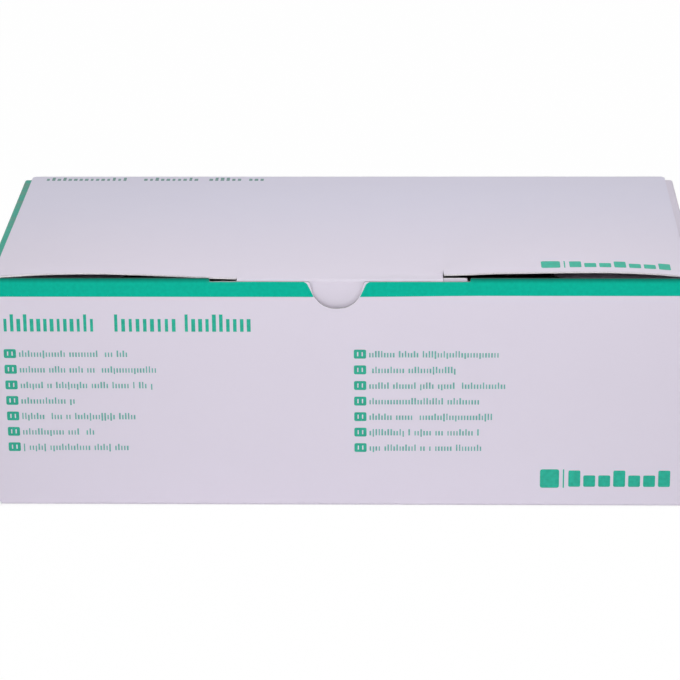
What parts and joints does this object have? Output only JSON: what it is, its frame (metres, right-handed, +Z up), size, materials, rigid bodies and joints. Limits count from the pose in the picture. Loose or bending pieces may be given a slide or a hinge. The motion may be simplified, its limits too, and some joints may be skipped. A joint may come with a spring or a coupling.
{
  "type": "folding carton with hinged tuck lid",
  "caption": "Closed oblong folding carton of white coated board with a green top band, a thumb notch and a slit hinged lid whose tuck flap slides in behind the front.",
  "frame": {"origin": "middle of the underside, on the surface that the carton stands on", "axes": "+X along the carton to the right as seen from the front, the front wall with the thumb notch faces -Y, +Z up"},
  "size_m": [0.236, 0.112, 0.0834],
  "materials": {
    "carton_board": "satin coated white, green printed band",
    "lid_board": "satin coated white"
  },
  "bodies": {
    "carton": {"carton_body": "carton_board"},
    "lid": {"lid": "lid_board"}
  },
  "joints": [
    {"name": "lid_hinge", "type": "hinge", "parent": "carton", "child": "lid", "pos_m": [0, 0.056, 0.0807], "axis": [-1, 0, 0], "range_deg": [0, 180]}
  ]
}
